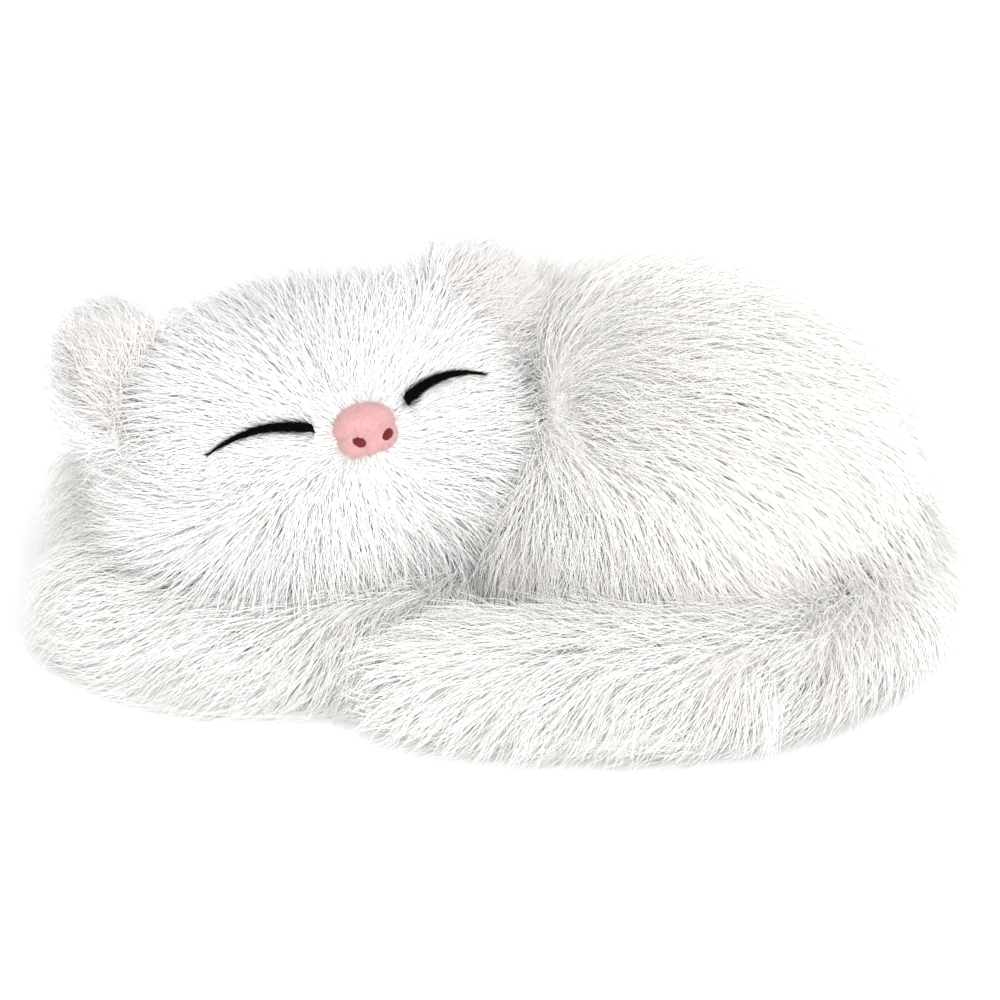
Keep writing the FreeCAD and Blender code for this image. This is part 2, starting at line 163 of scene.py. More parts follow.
def make_materials():
    """Every surface on the cat, named for what it is."""
    return {
        # Polyester pile: bluish white, plain white and cream strands are mixed through it.
        "cool": plain_material("pile_cool_white", "#FDFDFE", 0.5, sheen=0.6),
        "plain": plain_material("pile_white", "#FFFEFC", 0.5, sheen=0.6),
        "warm": plain_material("pile_cream", "#FFFCF7", 0.5, sheen=0.6),
        # Ear lining: the same pile with a faint pink cast.
        "ear": plain_material("pile_ear_pink", "#FEFAF8", 0.5, sheen=0.6),
        # Knitted polyester that the pile is rooted in.
        "backing": knit_material("knit_backing", "#FAF8F5", 0.8, 0.15),
        # Flat polyester cloth of the underside.
        "base": knit_material("base_cloth", "#ECE8E1", 0.5, 0.12),
        # Needle-felted wool.
        "felt": knit_material("pink_felt", "#C49797", 0.6, 0.3, 0.95),
        # Dark felt colour at the nostrils: painted shade for the hollow inside each nostril.
        "nostril": plain_material("nostril_felt", "#6E2B30", 0.95, specular=0.1),
        "felt_fuzz": plain_material("pink_felt_fuzz", "#E0B4B2", 0.9),
        # Stiff black bristle of the lashes.
        "bristle": plain_material("black_bristle", "#050404", 0.8, specular=0.08),
        # Polyester sewing thread.
        "thread": plain_material("sewing_thread", "#E6E2DA", 0.5, specular=0.5),
    }


# ---------------------------------------------------------------- meshes


def new_object(name, mesh):
    obj = bpy.data.objects.new(name, mesh)
    bpy.context.scene.collection.objects.link(obj)
    return obj


def cad_copy(name, nodes):
    """One new object with the vertices of some CAD nodes."""
    joined = bmesh.new()
    for node in nodes:
        joined.from_mesh(frame["nodes"][node].data)
    bmesh.ops.remove_doubles(joined, verts=joined.verts, dist=1e-5)
    mesh = bpy.data.meshes.new(name)
    joined.to_mesh(mesh)
    joined.free()
    return new_object(name, mesh)


def apply_modifiers(obj):
    """The object's mesh as its modifiers leave it."""
    depsgraph = bpy.context.evaluated_depsgraph_get()
    mesh = bpy.data.meshes.new_from_object(obj.evaluated_get(depsgraph))
    obj.modifiers.clear()
    old, obj.data = obj.data, mesh
    bpy.data.meshes.remove(old)


def remesh(obj, voxel_mm, smooth=6):
    """Even quads in place of the CAD's facets, with creases softened."""
    modifier = obj.modifiers.new("even", "REMESH")
    modifier.mode = "VOXEL"
    modifier.voxel_size = voxel_mm * MM
    if smooth:
        soften = obj.modifiers.new("soften", "SMOOTH")
        soften.iterations = smooth
        soften.factor = 0.5
    apply_modifiers(obj)


def points_of(mesh):
    flat = np.empty(len(mesh.vertices) * 3)
    mesh.vertices.foreach_get("co", flat)
    return flat.reshape(-1, 3)


def normals_of(mesh):
    return np.array([tuple(v.normal) for v in mesh.vertices])


def set_points(mesh, points):
    mesh.vertices.foreach_set("co", np.asarray(points, dtype=np.float32).ravel())
    mesh.update()


def puff(obj, pressure=4.0, most_mm=2.5):
    """Fills a closed cloth and lets it settle. No point moves more than a cap."""
    rest = points_of(obj.data).copy()
    cloth = obj.modifiers.new("cloth", "CLOTH")
    settings = cloth.settings
    settings.quality = 4
    settings.mass = 0.25
    settings.tension_stiffness = 12
    settings.compression_stiffness = 12
    settings.bending_stiffness = 1.5
    settings.use_pressure = True
    settings.uniform_pressure_force = pressure
    settings.effector_weights.gravity = 0
    cloth.point_cache.frame_start = 1
    cloth.point_cache.frame_end = 20
    scene = bpy.context.scene
    for number in range(1, 21):
        scene.frame_set(number)
    apply_modifiers(obj)
    scene.frame_set(1)
    moved = points_of(obj.data) - rest
    length = np.linalg.norm(moved, axis=1, keepdims=True)
    set_points(obj.data, rest + moved * np.minimum(1, most_mm * MM / np.maximum(length, 1e-9)))


def subdivide(obj):
    modifier = obj.modifiers.new("fine", "SUBSURF")
    modifier.levels = modifier.render_levels = 1
    apply_modifiers(obj)


def shade(obj, material):
    obj.data.materials.clear()
    obj.data.materials.append(material)
    obj.data.polygons.foreach_set("use_smooth", [True] * len(obj.data.polygons))


def surface_of(nodes):
    """A tree of the CAD surface of some nodes, for measuring distances."""
    joined = bmesh.new()
    for node in nodes:
        joined.from_mesh(frame["nodes"][node].data)
    tree = BVHTree.FromBMesh(joined)
    joined.free()
    return tree


def gaps(points, tree, most):
    """How far each point is from a surface, up to a limit."""
    found = np.full(len(points), most)
    for i, point in enumerate(points):
        hit = tree.find_nearest(Vector(point), most)
        if hit[0] is not None:
            found[i] = hit[3]
    return found


def smoothstep(x, low, high):
    t = np.clip((np.asarray(x) - low) / (high - low), 0, 1)
    return t * t * (3 - 2 * t)


def unit(rows):
    return rows / np.maximum(np.linalg.norm(rows, axis=-1, keepdims=True), 1e-9)


def along_surface(rows, normals):
    """The part of each direction that lies in the surface."""
    return unit(rows - normals * np.sum(rows * normals, axis=1, keepdims=True))


def store(mesh, name, values):
    """Keeps one value or vector for each vertex."""
    values = np.asarray(values, dtype=np.float32)
    kind, key = ("FLOAT_VECTOR", "vector") if values.ndim == 2 else ("FLOAT", "value")
    attribute = mesh.attributes.get(name) or mesh.attributes.new(name, kind, "POINT")
    attribute.data.foreach_set(key, values.ravel())


# ---------------------------------------------------------------- how the pile lies

# Places on the body in millimetres, and the way the pile runs there.
BODY_FLOW = [
    ((20, 20, 98), (1, 0.05, 0.1)), ((60, 14, 104), (1, -0.1, 0)), ((105, 14, 85), (0.9, 0, -0.5)),
    ((40, -35, 85), (1, -0.25, 0.1)), ((80, -40, 75), (0.8, -0.4, -0.4)),
    ((25, -50, 60), (-0.3, -0.6, -0.6)), ((50, -55, 50), (0.1, -0.6, -0.7)),
    ((90, -48, 45), (0.5, -0.6, -0.7)), ((130, -10, 40), (0.5, -0.2, -0.8)),
    ((136, 20, 30), (0.5, 0.2, -0.9)),
    ((110, 65, 30), (0.5, 0.3, -0.8)), ((60, 85, 30), (0.3, 0.3, -0.9)), ((60, 60, 85), (0.7, 0.5, -0.4)),
    ((-4, 60, 80), (0.6, 0.5, -0.5)), ((-4, 92, 30), (0.2, 0.3, -0.9)),
    ((-70, 60, 55), (-0.3, 0.6, -0.6)), ((-70, 80, 20), (-0.2, 0.3, -0.9)),
    ((-125, 20, 25), (-0.8, 0.1, -0.5)), ((-110, 30, 55), (-0.8, 0.2, -0.3)),
    ((-134, -22, 20), (-0.9, -0.1, -0.3)), ((-115, -45, 35), (-0.9, -0.3, -0.3)),
    ((-90, -62, 25), (-0.8, -0.2, -0.5)), ((-55, -68, 18), (-0.75, -0.2, -0.6)),
    ((-30, -60, 40), (-0.7, -0.3, -0.6)), ((-10, -50, 30), (-0.6, -0.4, -0.6)),
]
TAIL_FLOW = [
    ((125, 0, 42), (0.1, -1, 0)), ((110, -45, 40), (-0.2, -0.9, -0.1)), ((85, -72, 40), (-0.6, -0.6, -0.4)),
    ((145, -5, 20), (0.5, -0.6, -0.5)), ((128, -60, 20), (0.5, -0.6, -0.6)),
    ((85, -95, 20), (0.1, -0.5, -0.8)), ((50, -78, 41), (-0.9, -0.3, -0.1)),
    ((45, -97, 20), (-0.4, -0.4, -0.8)), ((5, -78, 41), (-1, -0.1, -0.1)),
    ((0, -97, 20), (-0.5, -0.3, -0.8)), ((-28, -78, 20), (-0.8, -0.2, -0.5)), ((50, -76, 0), (-0.5, -0.8, 0)),
]


def blended_flow(points, normals, guides, power=3.0):
    """Each point's pile direction from the guides near it, laid in the surface and swirled a little."""
    places = np.array([g[0] for g in guides]) * MM
    ways = unit(np.array([g[1] for g in guides], dtype=float))
    apart = np.linalg.norm(points[:, None, :] - places[None], axis=2)
    weights = 1 / np.maximum(apart, 0.004) ** power
    flow = weights @ ways / weights.sum(axis=1, keepdims=True)
    return swirled(points, along_surface(flow, normals), normals, 0.35)


def swirled(points, flow, normals, amount):
    """Turns the pile a little this way and that, over patches a few centimetres wide."""
    turn = np.array([
        noise.noise(Vector(p) / 0.028) + 0.5 * noise.noise(Vector(p) / 0.011 + Vector((7, 3, 1)))
        for p in points
    ]) * amount * 2
    across = np.cross(normals, flow)
    return unit(flow * np.cos(turn)[:, None] + across * np.sin(turn)[:, None])


def head_places(points):
    """Points in the head's own terms, in mm: across to the cat's left, out to the face, up to the crown."""
    away = points - HEAD_CENTRE
    return away @ HEAD_SIDE / MM, away @ HEAD_FACE / MM, away @ HEAD_CROWN / MM


def face_places(points):
    """The same, in the face's slightly turned axes."""
    away = points - HEAD_CENTRE
    return away @ FACE_SIDE / MM, away @ HEAD_FACE / MM, away @ FACE_CROWN / MM


def trimmed(points):
    """1 for full pile, less where the face is trimmed short round the nose and eyes."""
    side, out, up = face_places(points)
    from_nose = np.hypot(side, up - 0.5)
    near_nose = 0.24 + 0.76 * smoothstep(from_nose, 8, 38)
    past_eye = np.maximum(np.abs(np.abs(side) - EYE_SIDE) - EYE_HALF, 0)
    from_eyes = np.hypot(past_eye, (up - EYE_UP) * 1.25)
    near_eyes = 0.26 + 0.74 * smoothstep(from_eyes, 2, 19)
    front = smoothstep(out, 5, 22)
    return 1 - front * (1 - np.minimum(near_nose, near_eyes))


# ---------------------------------------------------------------- geometry nodes


def interface(tree, sockets):
    """Named inputs of a node tree, and its geometry output."""
    tree.interface.new_socket("Geometry", in_out="OUTPUT", socket_type="NodeSocketGeometry")
    tree.interface.new_socket("Geometry", in_out="INPUT", socket_type="NodeSocketGeometry")
    for name, kind, value in sockets:
        item = tree.interface.new_socket(name, in_out="INPUT", socket_type=kind)
        if value is not None:
            item.default_value = value


def maths(tree, operation, a, b=0.0):
    return add(tree, "ShaderNodeMath", {0: a, 1: b}, operation=operation).outputs[0]


def vectors(tree, operation, a, b=(0.0, 0.0, 0.0)):
    node = add(tree, "ShaderNodeVectorMath", {0: a, 1: b}, operation=operation)
    return node.outputs["Value" if operation in ("DOT_PRODUCT", "LENGTH") else "Vector"]


def scaled(tree, vector, factor):
    return add(tree, "ShaderNodeVectorMath", {0: vector, "Scale": factor}, operation="SCALE").outputs[0]


def attribute(tree, name, kind="FLOAT"):
    return add(tree, "GeometryNodeInputNamedAttribute", {"Name": name}, data_type=kind).outputs["Attribute"]


def keep(tree, geometry, name, value, kind="FLOAT"):
    """Stores a named value on points."""
    return add(tree, "GeometryNodeStoreNamedAttribute", {"Geometry": geometry, "Name": name, "Value": value},
               data_type=kind, domain="POINT").outputs["Geometry"]


def rand(tree, low, high, seed):
    node = add(tree, "FunctionNodeRandomValue", {"Min": low, "Max": high, "Seed": seed}, data_type="FLOAT")
    return socket(node.outputs, "Value")


def scattered(tree, surface, density, seed, stray, length):
    """Roots on a surface, each with its own direction, normal and length."""
    roots = add(tree, "GeometryNodeDistributePointsOnFaces",
                {"Mesh": surface, "Density": density, "Seed": seed})
    geometry, normal = roots.outputs["Points"], roots.outputs["Normal"]
    tug = add(tree, "FunctionNodeRandomValue",
              {"Min": (-1.0, -1.0, -1.0), "Max": (1.0, 1.0, 1.0), "Seed": seed + 1}, data_type="FLOAT_VECTOR")
    pulled = scaled(tree, socket(tug.outputs, "Value"), stray)
    leaning = vectors(tree, "ADD", attribute(tree, "flow", "FLOAT_VECTOR"), pulled)
    out = scaled(tree, normal, vectors(tree, "DOT_PRODUCT", leaning, normal))
    along = vectors(tree, "NORMALIZE", vectors(tree, "SUBTRACT", leaning, out))
    own_length = maths(tree, "MULTIPLY", maths(tree, "MULTIPLY", length, attribute(tree, "reach")),
                       rand(tree, 0.72, 1.1, seed + 2))
    place = add(tree, "GeometryNodeInputPosition").outputs[0]
    for name, value, kind in (("root", place, "FLOAT_VECTOR"), ("out", normal, "FLOAT_VECTOR"),
                              ("along", along, "FLOAT_VECTOR"), ("long", own_length, "FLOAT")):
        geometry = keep(tree, geometry, name, value, kind)
    return geometry


def bent(tree, root, out, along, length, lean, droop, t):
    """A point on a strand that leaves its root near the normal and bends over along the pile."""
    swing = maths(tree, "MAXIMUM", maths(tree, "SUBTRACT", droop, lean), 0.05)
    angle = maths(tree, "ADD", lean, maths(tree, "MULTIPLY", swing, t))
    size = maths(tree, "DIVIDE", length, swing)
    rise = maths(tree, "SUBTRACT", maths(tree, "SINE", angle), maths(tree, "SINE", lean))
    run = maths(tree, "SUBTRACT", maths(tree, "COSINE", lean), maths(tree, "COSINE", angle))
    lifted = scaled(tree, out, maths(tree, "MULTIPLY", size, rise))
    carried = scaled(tree, along, maths(tree, "MULTIPLY", size, run))
    return vectors(tree, "ADD", root, vectors(tree, "ADD", lifted, carried))


def strand_tree(name, points=4):
    """Tapered strands that grow from a surface, gather into locks and lie along the surface's flow."""
    tree = bpy.data.node_groups.new(name, "GeometryNodeTree")
    interface(tree, [
        ("Length", "NodeSocketFloat", 0.027), ("Width", "NodeSocketFloat", 0.0004),
        ("Density", "NodeSocketFloat", 1e6), ("Lock Density", "NodeSocketFloat", 4e4),
        ("Gather", "NodeSocketFloat", 0.5), ("Frizz", "NodeSocketFloat", 0.001),
        ("Stray", "NodeSocketFloat", 0.3), ("Lean", "NodeSocketFloat", 0.45),
        ("Droop", "NodeSocketFloat", 1.8), ("Floor", "NodeSocketFloat", 0.0006),
        ("Seed", "NodeSocketInt", 1),
        ("Cool", "NodeSocketMaterial", None), ("Plain", "NodeSocketMaterial", None),
        ("Warm", "NodeSocketMaterial", None),
    ])
    given = add(tree, "NodeGroupInput").outputs
    dense = maths(tree, "MULTIPLY", given["Density"], attribute(tree, "dense"))
    roots = scattered(tree, given["Geometry"], dense, 11, given["Stray"], given["Length"])
    locks = scattered(tree, given["Geometry"], given["Lock Density"], 51,
                      maths(tree, "MULTIPLY", given["Stray"], 0.5), given["Length"])
    nearest = add(tree, "GeometryNodeSampleNearest", {"Geometry": locks}, domain="POINT").outputs["Index"]
    v = "FLOAT_VECTOR"
    for key, kind in (("root", v), ("out", v), ("along", v), ("long", "FLOAT")):
        seen = add(tree, "GeometryNodeSampleIndex",
                   {"Geometry": locks, "Value": attribute(tree, key, kind), "Index": nearest},
                   data_type=kind, domain="POINT")
        roots = keep(tree, roots, f"lock_{key}", seen.outputs["Value"], kind)
    tone = maths(tree, "ADD", attribute(tree, "warmth"), rand(tree, -0.35, 0.35, 91))
    roots = keep(tree, roots, "tone", tone)
    lean = maths(tree, "MULTIPLY", maths(tree, "MULTIPLY", given["Lean"], attribute(tree, "lie")),
                 rand(tree, 0.6, 1.4, 92))
    roots = keep(tree, roots, "lean", lean)
    droop = maths(tree, "MULTIPLY", maths(tree, "MULTIPLY", given["Droop"], attribute(tree, "lie")),
                  rand(tree, 0.86, 1.1, 93))
    roots = keep(tree, roots, "droop", droop)
    roots = keep(tree, roots, "fine", rand(tree, 0.6, 1.25, 94))
    roots = keep(tree, roots, "loose", rand(tree, 0.35, 1.0, 95))

    line = add(tree, "GeometryNodeCurvePrimitiveLine", {"Start": (0.0, 0.0, 0.0), "End": (0.0, 0.0, 0.001)})
    line = add(tree, "GeometryNodeResampleCurve", {"Curve": line.outputs[0], "Count": points})
    strands = add(tree, "GeometryNodeInstanceOnPoints", {"Points": roots, "Instance": line.outputs[0]})
    strands = add(tree, "GeometryNodeRealizeInstances", {"Geometry": strands.outputs[0]}).outputs[0]

    t = add(tree, "GeometryNodeSplineParameter").outputs["Factor"]
    lean, droop = attribute(tree, "lean"), attribute(tree, "droop")
    own = bent(tree, attribute(tree, "root", v), attribute(tree, "out", v), attribute(tree, "along", v),
               attribute(tree, "long"), lean, droop, t)
    lock = bent(tree, attribute(tree, "lock_root", v), attribute(tree, "lock_out", v),
                attribute(tree, "lock_along", v), attribute(tree, "lock_long"), lean, droop, t)
    pull = maths(tree, "MULTIPLY", maths(tree, "MULTIPLY", given["Gather"], attribute(tree, "loose")),
                 maths(tree, "POWER", t, 1.3))
    place = vectors(tree, "ADD", own, scaled(tree, vectors(tree, "SUBTRACT", lock, own), pull))
    wave = add(tree, "ShaderNodeTexNoise", {"Vector": place, "Scale": 190.0, "Detail": 1.0})
    shift = vectors(tree, "SUBTRACT", wave.outputs["Color"], (0.5, 0.5, 0.5))
    kink = scaled(tree, shift, maths(tree, "MULTIPLY", maths(tree, "MULTIPLY", given["Frizz"], 3.0), t))
    place = vectors(tree, "ADD", place, kink)
    parts = add(tree, "ShaderNodeSeparateXYZ", {0: place})
    floor = maths(tree, "ADD", given["Floor"], maths(tree, "MULTIPLY", attribute(tree, "loose"), 0.003))
    high = maths(tree, "MAXIMUM", parts.outputs[2], floor)
    place = add(tree, "ShaderNodeCombineXYZ", {0: parts.outputs[0], 1: parts.outputs[1], 2: high}).outputs[0]
    strands = add(tree, "GeometryNodeSetPosition", {"Geometry": strands, "Position": place}).outputs[0]

    taper = maths(tree, "SUBTRACT", 1.0, maths(tree, "MULTIPLY", maths(tree, "POWER", t, 1.6), 0.82))
    width = maths(tree, "MULTIPLY", maths(tree, "MULTIPLY", given["Width"], attribute(tree, "fine")), taper)
    ring = add(tree, "GeometryNodeCurvePrimitiveCircle", {"Resolution": 3, "Radius": 0.5})
    tubes = add(tree, "GeometryNodeCurveToMesh",
                {"Curve": strands, "Profile Curve": ring.outputs["Curve"], "Scale": width,
                 "Fill Caps": False})
    mesh = add(tree, "GeometryNodeSetShadeSmooth", {"Geometry": tubes.outputs[0]}).outputs[0]
    mesh = add(tree, "GeometryNodeRealizeInstances", {"Geometry": mesh}).outputs[0]
    tone = attribute(tree, "tone")
    tones = (("Plain", None), ("Cool", ("LESS_THAN", 0.33)), ("Warm", ("GREATER_THAN", 0.66)))
    for material, chosen in tones:
        values = {"Geometry": mesh, "Material": given[material]}
        if chosen:
            values["Selection"] = maths(tree, chosen[0], tone, chosen[1])
        mesh = add(tree, "GeometryNodeSetMaterial", values).outputs[0]
    out = add(tree, "NodeGroupOutput")
    tree.links.new(mesh, out.inputs[0])
    return tree


def run_tree(obj, tree, **values):
    """Puts a node tree on an object with its inputs set, and leaves the plain mesh that it makes."""
    modifier = obj.modifiers.new("made", "NODES")
    modifier.node_group = tree
    for item in tree.interface.items_tree:
        key = item.name.lower().replace(" ", "_")
        if item.in_out == "INPUT" and key in values:
            modifier[item.identifier] = values[key]
    obj.data.update()
    obj.update_tag()
    apply_modifiers(obj)
    for extra in [a.name for a in obj.data.attributes if not a.is_internal and not a.is_required]:
        if extra not in ("material_index", "sharp_face"):
            attribute_found = obj.data.attributes.get(extra)
            if attribute_found is not None:
                obj.data.attributes.remove(attribute_found)


def patch(name, source, chosen):
    """A copy of some faces of a surface, with its stored values."""
    obj = new_object(name, source.data.copy())
    part = bmesh.new()
    part.from_mesh(obj.data)
    part.faces.ensure_lookup_table()
    rest = [face for face in part.faces if not chosen(face.calc_center_median(), face.normal)]
    bmesh.ops.delete(part, geom=rest, context="FACES")
    part.to_mesh(obj.data)
    part.free()
    return obj


def grow(name, source, chosen, body, nodes, tree, materials, **values):
    """Pile on one sewn panel, riding on its body in place of the CAD panel."""
    obj = patch(name, source, chosen)
    thick = np.zeros(len(obj.data.vertices), dtype=np.float32)
    obj.data.attributes["dense"].data.foreach_get("value", thick)
    area = sum(p.area * sum(thick[i] for i in p.vertices) / len(p.vertices) for p in obj.data.polygons)
    if area == 0:
        raise RuntimeError(f"{name} has no surface to grow on")
    values["density"] = min(values["density"], MOST_STRANDS / area)
    run_tree(obj, tree, cool=materials["cool"], plain=materials["plain"], warm=materials["warm"], **values)
    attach(obj, body)
    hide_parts(*nodes)


# ---------------------------------------------------------------- settings


def cm2(value):
    """Strands per square centimetre as strands per square metre."""
    return value * 1e4


class PlushPileSettings(bpy.types.PropertyGroup):
    """The pile's strands."""

    length: bpy.props.FloatProperty(name="Length", description="Root to tip", default=0.030, unit="LENGTH")
    width: bpy.props.FloatProperty(
        name="Width", description="Strand width at the root", default=0.00038, unit="LENGTH")
    density: bpy.props.FloatProperty(
        name="Density", description="Strands per square centimetre", default=130.0)
    locks: bpy.props.FloatProperty(name="Locks", description="Locks per square centimetre", default=2.6)
    gather: bpy.props.FloatProperty(name="Gather", description="How far strands join into locks", default=0.2)
    frizz: bpy.props.FloatProperty(
        name="Frizz", description="Waviness of a strand", default=0.0011, unit="LENGTH")
    stray: bpy.props.FloatProperty(name="Stray", description="How much directions differ", default=0.5)
    lean: bpy.props.FloatProperty(name="Lean", description="Angle from upright at the root", default=0.5)
    droop: bpy.props.FloatProperty(name="Droop", description="Angle from upright at the tip", default=1.8)


class PlushClothSettings(bpy.types.PropertyGroup):
    """The sewn, stuffed cloth under the pile."""

    voxel: bpy.props.FloatProperty(
        name="Weave", description="Cloth simulation grid, in millimetres", default=5.0)
    pressure: bpy.props.FloatProperty(name="Pressure", description="Stuffing pressure", default=4.0)


class PlushStageSettings(bpy.types.PropertyGroup):
    """Camera and light."""

    elevation: bpy.props.FloatProperty(
        name="Elevation", description="Camera angle above the floor", default=30.0)
    lens: bpy.props.FloatProperty(name="Lens", description="Focal length in millimetres", default=200.0)
    ambient: bpy.props.FloatProperty(
        name="Ambient", description="Strength of the all-round light", default=0.84)


# ---------------------------------------------------------------- operators

made = {}


def pile_values(settings, **changes):
    """The strand inputs that the pile's settings give, with any changes."""
    values = {
        "length": settings.length, "width": settings.width, "density": cm2(settings.density),
        "lock_density": cm2(settings.locks), "gather": settings.gather, "frizz": settings.frizz,
        "stray": settings.stray, "lean": settings.lean, "droop": settings.droop,
    }
    values.update(changes)
    return values


def stuffed_cloth(name, nodes, voxel, pressure, smooth=6, most_mm=2.5):
    """A filled cloth over the CAD surface of some nodes."""
    obj = cad_copy(name, nodes)
    remesh(obj, voxel, smooth)
    puff(obj, pressure, most_mm)
    return obj


def finish_cloth(obj, body, nodes):
    """The backing cloth of a stuffed body, in place of its CAD stuffing."""
    shade(obj, made["materials"]["backing"])
    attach(obj, body)
    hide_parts(*nodes)


class PLUSH_OT_body_cloth(bpy.types.Operator):
    """Makes the body's stuffed backing cloth, and works out how its pile lies"""

    bl_idname = "plush.body_cloth"
    bl_label = "Body cloth"

    def execute(self, context):
        settings = context.scene.plush_cloth
        obj = stuffed_cloth("body_cloth", ["body_stuffing"], settings.voxel, settings.pressure)
        # The stuffing rests on the underside cloth.
        points = points_of(obj.data)
        points[:, 2] = np.maximum(points[:, 2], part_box("base_panel")[1][2] + 0.1 * MM)
        set_points(obj.data, points)
        normals = normals_of(obj.data)
        flow = blended_flow(points, normals, BODY_FLOW)
        head = gaps(points, surface_of(HEAD_PANELS), 0.03)
        tail = gaps(points, surface_of(["tail_sleeve"]), 0.03)
        near_tail = 1 - smoothstep(tail, 0.004, 0.022)
        reach = np.clip(head / 0.011, 0.55, 1) * (1 + 0.55 * near_tail)
        under = smoothstep(-normals[:, 2], 0.3, 0.8) * smoothstep(-points[:, 2], -0.008, -0.003)
        store(obj.data, "flow", flow)
        store(obj.data, "reach", reach * (1 - 0.7 * under))
        store(obj.data, "dense", 1 - under)
        store(obj.data, "lie", 1 - 0.5 * near_tail)
        store(obj.data, "warmth", 0.5 + 0.2 * smoothstep(points[:, 0], -0.02, 0.08))
        finish_cloth(obj, "body", ["body_stuffing"])
        made["body"] = obj
        return {"FINISHED"}


class PLUSH_OT_head_cloth(bpy.types.Operator):
    """Makes the head's stuffed backing cloth, raised where the face is trimmed short"""

    bl_idname = "plush.head_cloth"
    bl_label = "Head cloth"

    def execute(self, context):
        settings = context.scene.plush_cloth
        obj = stuffed_cloth("head_cloth", ["head_stuffing"], settings.voxel * 0.8, settings.pressure, 8, 1.5)
        subdivide(obj)
        points, normals = points_of(obj.data), normals_of(obj.data)
        short = trimmed(points)
        points = points + normals * ((1 - short) * FACE_RAISE * MM)[:, None]
        set_points(obj.data, points)
        normals = normals_of(obj.data)
        nose = HEAD_CENTRE + HEAD_FACE * 50 * MM
        flow = along_surface(points - nose, normals)
        down = along_surface(np.tile((0.0, -0.3, -1.0), (len(points), 1)), normals)
        side, out, up = head_places(points)
        low = smoothstep(-up, 8, 34)[:, None] * 0.6
        flow = swirled(points, unit(flow + down * low), normals, 0.22)
        store(obj.data, "flow", flow)
        ruff = 0.4 * smoothstep(-up, 2, 24) + 0.4 * smoothstep(side, 22, 52)
        store(obj.data, "reach", short * (1.04 + ruff))
        store(obj.data, "dense", 1 + 0.9 * (1 - short))
        store(obj.data, "lie", np.ones(len(points)))
        store(obj.data, "warmth", 0.42 - 0.25 * smoothstep(up, 12, 40))
        finish_cloth(obj, "head", ["head_stuffing"])
        made["head"] = obj
        return {"FINISHED"}


class PLUSH_OT_tail_cloth(bpy.types.Operator):
    """Makes the tail's stuffed backing cloth"""

    bl_idname = "plush.tail_cloth"
    bl_label = "Tail cloth"

    def execute(self, context):
        settings = context.scene.plush_cloth
        obj = stuffed_cloth("tail_cloth", ["tail_stuffing"], settings.voxel * 0.6, settings.pressure, 4, 1.0)
        points, normals = points_of(obj.data), normals_of(obj.data)
        body = gaps(points, surface_of(BODY_PANELS), 0.03)
        store(obj.data, "flow", blended_flow(points, normals, TAIL_FLOW))
        near_body = 1 - smoothstep(body, 0.002, 0.016)
        store(obj.data, "reach", 1 - 0.15 * near_body)
        store(obj.data, "dense", 1 - 0.5 * smoothstep(-normals[:, 2], 0.5, 0.9))
        store(obj.data, "lie", 1 - 0.35 * near_body)
        store(obj.data, "warmth", np.full(len(points), 0.55))
        finish_cloth(obj, "tail", ["tail_stuffing"])
        made["tail"] = obj
        return {"FINISHED"}


class PLUSH_OT_ears(bpy.types.Operator):
    """Makes the two ears: curved double cloth with pile on both faces"""

    bl_idname = "plush.ears"
    bl_label = "Ears"

    def execute(self, context):
        pile = context.scene.plush_pile
        for ear, sign in (("right_ear", -1), ("left_ear", 1)):
            nodes = [f"{ear}_outer", f"{ear}_lining"]
            cloth = cad_copy(f"{ear}_cloth", nodes)
            remesh(cloth, 1.6, 4)
            points, normals = points_of(cloth.data), normals_of(cloth.data)
            points = points - normals * 1.2 * MM
            set_points(cloth.data, points)
            foot = np.array(frame_joint(f"{ear}_fold")["pos_m"])
            tip = points[np.argmax((points - foot) @ unit(HEAD_CROWN + sign * 1.5 * HEAD_SIDE))]
            rise = unit(tip - foot)
            flow = along_surface(np.tile(rise, (len(points), 1)) + sign * 0.35 * HEAD_SIDE, normals)
            store(cloth.data, "flow", swirled(points, flow, normals, 0.7))
            inside = smoothstep(normals @ HEAD_FACE, 0.1, 0.6)
            height = (points - foot) @ rise / np.linalg.norm(tip - foot)
            store(cloth.data, "reach", 0.74 - 0.06 * inside - 0.32 * smoothstep(height, 0.35, 0.95))
            store(cloth.data, "dense", np.full(len(points), 2.2))
            store(cloth.data, "lie", np.full(len(points), 0.8))
            store(cloth.data, "warmth", 0.3 + 0.5 * inside)
            values = pile_values(pile, stray=0.9)
            fur = patch(f"{ear}_pile", cloth, lambda centre, normal: True)
            run_tree(fur, made["strands"], cool=made["materials"]["cool"], plain=made["materials"]["plain"],
                     warm=made["materials"]["ear"], **values)
            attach(fur, ear)
            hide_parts(nodes[0])
            shade(cloth, made["materials"]["backing"])
            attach(cloth, ear)
            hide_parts(nodes[1])
        return {"FINISHED"}


